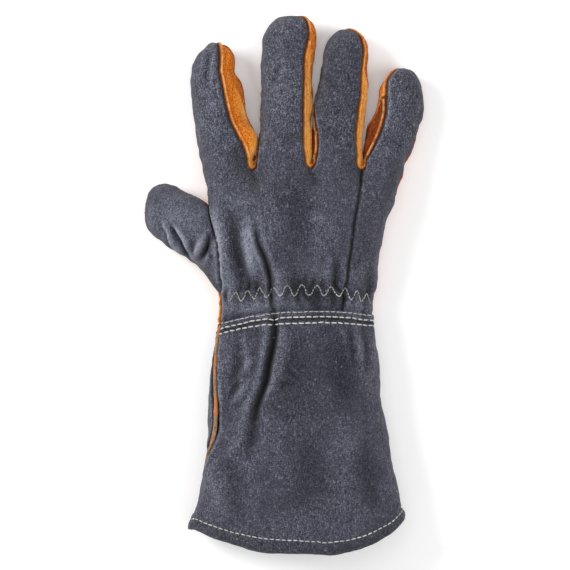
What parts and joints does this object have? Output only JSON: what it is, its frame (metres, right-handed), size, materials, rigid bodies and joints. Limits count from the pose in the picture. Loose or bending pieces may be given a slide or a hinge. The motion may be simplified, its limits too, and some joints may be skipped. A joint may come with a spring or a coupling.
{
  "type": "welding gauntlet glove",
  "caption": "Split leather gauntlet for a right hand with a long flared cuff, sewn back and palm panels, side strips between the fingers and a set-in thumb, lying on its palm.",
  "frame": {"origin": "middle of the underside of the glove's box, on the surface that the palm lies on", "axes": "+Y along the fingers, +Z out of the back of the hand, -X towards the thumb"},
  "size_m": [0.1812, 0.3482, 0.0458],
  "materials": {
    "grey_leather": "split, napped",
    "orange_leather": "split, napped",
    "thread": "twisted"
  },
  "bodies": {
    "root": {"back_panel_main": "grey_leather", "back_panel_little": "grey_leather", "palm_panel": "orange_leather", "fourchette_index_middle": "orange_leather", "fourchette_middle_ring": "orange_leather", "fourchette_ring_little": "orange_leather", "thumb_back": "grey_leather", "thumb_front": "orange_leather", "cuff": "grey_leather", "cuff_welt": "orange_leather"}
  },
  "joints": []
}
